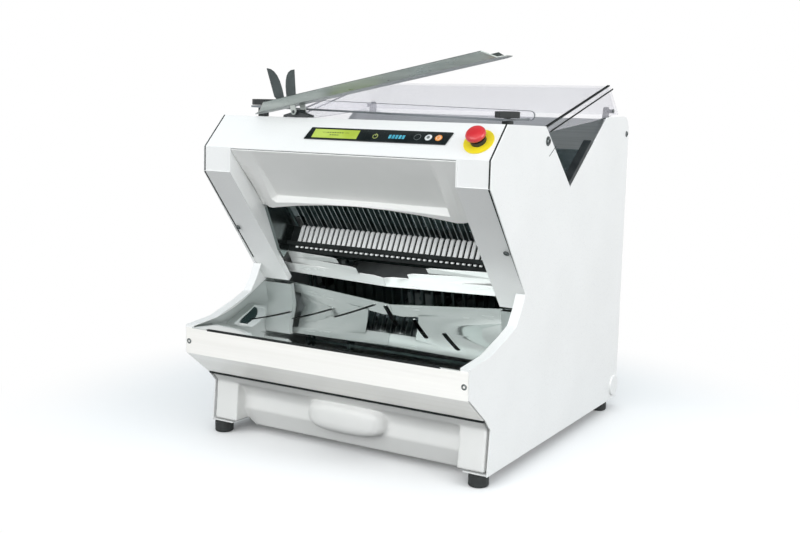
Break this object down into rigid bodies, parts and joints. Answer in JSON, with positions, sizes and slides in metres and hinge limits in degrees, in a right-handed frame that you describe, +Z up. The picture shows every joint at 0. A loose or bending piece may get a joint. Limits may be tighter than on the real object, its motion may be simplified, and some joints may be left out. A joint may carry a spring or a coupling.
{
  "type": "bread slicing machine",
  "caption": "Countertop bread slicer with opposed blade frames, slanted loaf bed under a clear lid, polished outfeed table, bagging tray and crumb drawer",
  "frame": {"origin": "middle of the whole box in X and Y, on the floor under the feet", "axes": "+X to the operator's right, +Y from the outfeed at the front to the motor at the back, +Z up"},
  "size_m": [0.658, 0.76, 0.7907],
  "materials": {
    "white_paint": "satin",
    "white_moulding": "satin",
    "white_nylon": "satin",
    "brushed_steel": "brushed",
    "polished_steel": "polished",
    "blade_steel": "ground",
    "grey_casting": "cast",
    "black_plastic": "matt",
    "grey_plastic": "matt",
    "black_rubber": "matt",
    "lcd": "gloss",
    "yellow_plastic": "satin",
    "red_plastic": "satin",
    "clear_acrylic": "clear"
  },
  "bodies": {
    "housing": {"side_panel_left": "white_paint", "side_panel_right": "white_paint", "base_plate": "brushed_steel", "rear_panel": "white_paint", "front_frame": "white_paint", "hood_panel": "white_moulding", "front_apron": "brushed_steel", "outfeed_table": "polished_steel", "outfeed_comb": "white_nylon", "comb_clamp_bar": "black_plastic", "inner_cheek_left": "brushed_steel", "inner_cheek_right": "brushed_steel", "guide_plates_left": "brushed_steel", "guide_plates_right": "brushed_steel", "loaf_bed": "brushed_steel", "bed_rail_left": "black_plastic", "bed_rail_right": "black_plastic", "screw_hanger": "grey_casting", "screw_gearmotor": "grey_casting", "upper_cross_member": "grey_casting", "lower_cross_member": "grey_casting", "guide_rod_a_left": "blade_steel", "guide_rod_a_right": "blade_steel", "guide_rod_b_left": "blade_steel", "guide_rod_b_right": "blade_steel", "crank_bearing_left": "grey_casting", "crank_bearing_right": "grey_casting", "drive_motor": "grey_casting", "drive_belt": "black_rubber", "foot_front_left": "black_rubber", "foot_front_right": "black_rubber", "foot_rear_left": "black_rubber", "foot_rear_right": "black_rubber", "display_panel": "black_plastic", "display_window": "lcd", "stop_plate": "yellow_plastic", "stop_collar": "black_plastic", "drawer_runner_left": "brushed_steel", "drawer_runner_right": "brushed_steel", "lid_hinge_left": "black_plastic", "lid_hinge_right": "black_plastic", "clear_shelf": "clear_acrylic", "tray_bracket": "black_plastic"},
    "drawer": {"drawer_fascia": "white_moulding", "crumb_pan": "brushed_steel"},
    "lid": {"lid_cover": "clear_acrylic"},
    "blades_a": {"blade_frame_a": "blade_steel"},
    "blades_b": {"blade_frame_b": "blade_steel"},
    "rod_a": {"connecting_rod_a": "grey_casting"},
    "rod_b": {"connecting_rod_b": "grey_casting"},
    "crank": {"crankshaft": "grey_casting"},
    "motor_wheel": {"motor_pulley": "grey_casting"},
    "pusher": {"loaf_pusher": "black_plastic"},
    "pusher_screw": {"lead_screw": "blade_steel"},
    "stop": {"stop_button": "red_plastic"},
    "knob_left": {"shelf_knob_left": "black_rubber"},
    "knob_right": {"shelf_knob_right": "black_rubber"},
    "tray": {"bagging_tray": "polished_steel"},
    "paddle_front": {"bag_paddle_front": "grey_plastic"},
    "paddle_rear": {"bag_paddle_rear": "grey_plastic"}
  },
  "joints": [
    {"name": "drawer_slide", "type": "slide", "parent": "housing", "child": "drawer", "axis": [0, -1, 0], "range_m": [0, 0.3]},
    {"name": "lid_hinge", "type": "hinge", "parent": "housing", "child": "lid", "pos_m": [0, 0.292, 0.6835], "axis": [-1, 0, 0], "range_deg": [0, 60]},
    {"name": "blade_a_slide", "type": "slide", "parent": "housing", "child": "blades_a", "axis": [0, 0.6285, -0.7778], "range_m": [-0.015, 0.015]},
    {"name": "blade_b_slide", "type": "slide", "parent": "housing", "child": "blades_b", "axis": [0, 0.6285, -0.7778], "range_m": [-0.015, 0.015]},
    {"name": "rod_a_pivot", "type": "hinge", "parent": "blades_a", "child": "rod_a", "pos_m": [-0.169, -0.02716, 0.3437], "axis": [1, 0, 0], "range_deg": [0, 13]},
    {"name": "rod_b_pivot", "type": "hinge", "parent": "blades_b", "child": "rod_b", "pos_m": [0.169, -0.01433, 0.35407], "axis": [1, 0, 0], "range_deg": [-13, 0]},
    {"name": "crank_turn", "type": "hinge", "parent": "housing", "child": "crank", "pos_m": [0, 0.0595, 0.2492], "axis": [1, 0, 0], "continuous": true},
    {"name": "motor_turn", "type": "hinge", "parent": "housing", "child": "motor_wheel", "pos_m": [0, 0.225, 0.198], "axis": [1, 0, 0], "continuous": true},
    {"name": "pusher_slide", "type": "slide", "parent": "housing", "child": "pusher", "axis": [0, -0.809, -0.5878], "range_m": [-0.12, 0.155]},
    {"name": "screw_turn", "type": "hinge", "parent": "housing", "child": "pusher_screw", "pos_m": [0, 0.0794, 0.5173], "axis": [0, 0.809, 0.5878], "range_deg": [-1225, 1400]},
    {"name": "stop_press", "type": "slide", "parent": "housing", "child": "stop", "axis": [0, 0.7071, -0.7071], "range_m": [0, 0.005], "stiffness_N_per_m": 600},
    {"name": "knob_left_turn", "type": "hinge", "parent": "housing", "child": "knob_left", "pos_m": [-0.284, -0.171, 0.68], "axis": [0, 0, 1], "continuous": true},
    {"name": "knob_right_turn", "type": "hinge", "parent": "housing", "child": "knob_right", "pos_m": [0.284, -0.171, 0.68], "axis": [0, 0, 1], "continuous": true},
    {"name": "tray_tilt", "type": "hinge", "parent": "housing", "child": "tray", "pos_m": [-0.139, -0.245, 0.674], "axis": [0, 1, 0], "range_deg": [0, 11]},
    {"name": "paddle_front_lean", "type": "hinge", "parent": "tray", "child": "paddle_front", "pos_m": [-0.1696, -0.256, 0.69], "axis": [0.9796, 0, 0.2011], "range_deg": [-15, 0], "stiffness_Nm_per_rad": 0.3},
    {"name": "paddle_rear_lean", "type": "hinge", "parent": "tray", "child": "paddle_rear", "pos_m": [-0.1696, -0.234, 0.69], "axis": [0.9796, 0, 0.2011], "range_deg": [0, 15], "stiffness_Nm_per_rad": 0.3}
  ],
  "couplings": [
    {"joint": "blade_b_slide", "follows": "blade_a_slide", "ratio": -1},
    {"joint": "motor_turn", "follows": "crank_turn", "ratio": 1.9643},
    {"joint": "screw_turn", "follows": "pusher_slide", "rad_per_m": 157.08}
  ]
}
